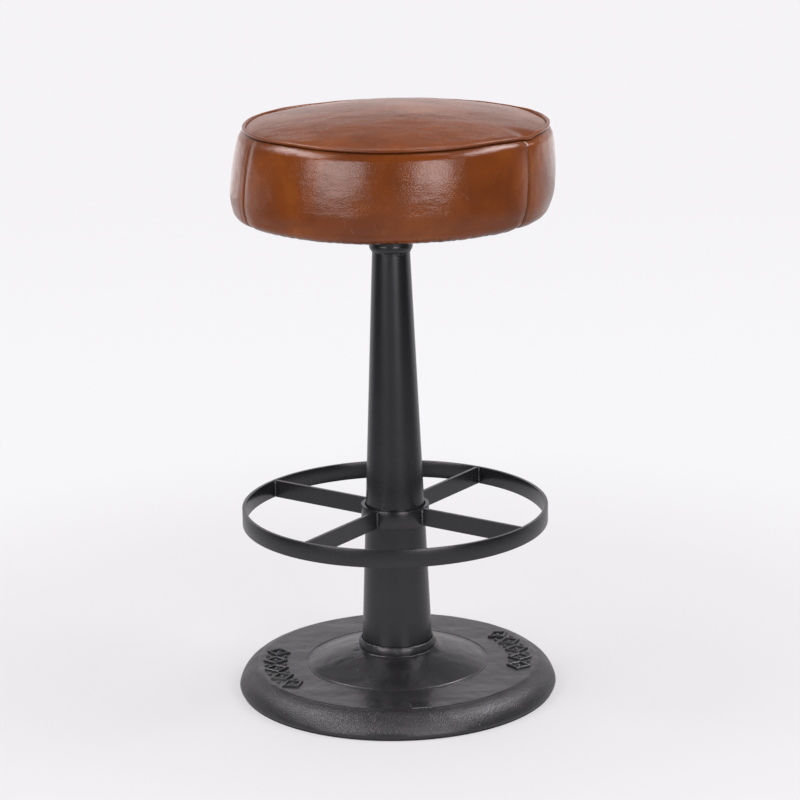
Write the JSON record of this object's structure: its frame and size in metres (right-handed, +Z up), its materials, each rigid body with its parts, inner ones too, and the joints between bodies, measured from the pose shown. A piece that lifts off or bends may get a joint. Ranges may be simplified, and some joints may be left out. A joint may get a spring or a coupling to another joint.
{
  "type": "bar stool",
  "caption": "Round leather bar stool with a drum cushion that swivels on a tapered column, a flat-bar foot ring and a heavy cast base.",
  "frame": {"origin": "on the floor, under the centre of the round base", "axes": "+Z up along the column and the swivel axis; the sitter faces -Y, the pictured front; +X is to the right in the picture"},
  "size_m": [0.3636, 0.3636, 0.67],
  "materials": {
    "cast_black": "satin",
    "floor_rubber": "matte",
    "black_paint": "satin",
    "bare_steel": "satin",
    "bright_steel": "gloss",
    "bronze": "satin",
    "tan_leather": "satin",
    "seat_foam": "matte",
    "plywood": "matte",
    "cover_cloth": "matte"
  },
  "bodies": {
    "pedestal": {"base_casting": "cast_black", "base_floor_ring": "floor_rubber", "column_tube": "black_paint", "column_foot_plug": "bare_steel", "base_bolt": "bare_steel", "base_washer": "bare_steel", "bearing_tube": "bare_steel", "centring_ring": "bare_steel", "swivel_housing": "black_paint", "housing_weld": "black_paint", "upper_bush": "bronze", "lower_bush": "bronze", "lower_race": "bare_steel", "ball_cage": "bare_steel", "thrust_balls": "bright_steel", "foot_collar": "black_paint", "foot_hoop": "black_paint", "foot_welds": "black_paint", "foot_grub_screws": "bare_steel", "foot_spoke_1": "black_paint", "foot_spoke_2": "black_paint", "foot_spoke_3": "black_paint", "foot_spoke_4": "black_paint"},
    "seat": {"upper_race": "bare_steel", "spindle": "bare_steel", "spindle_weld": "black_paint", "retaining_washer": "bare_steel", "retaining_nut": "bare_steel", "seat_plate": "black_paint", "seat_screws": "bare_steel", "tee_nuts": "bare_steel", "seat_board": "plywood", "seat_foam": "seat_foam", "top_panel": "tan_leather", "seat_piping": "tan_leather", "dust_cover": "cover_cloth", "staples": "bare_steel", "side_panel_1": "tan_leather", "side_panel_2": "tan_leather", "side_panel_3": "tan_leather"}
  },
  "joints": [
    {"name": "seat_swivel", "type": "hinge", "parent": "pedestal", "child": "seat", "pos_m": [0, 0, 0.5362], "axis": [0, 0, 1], "continuous": true}
  ]
}
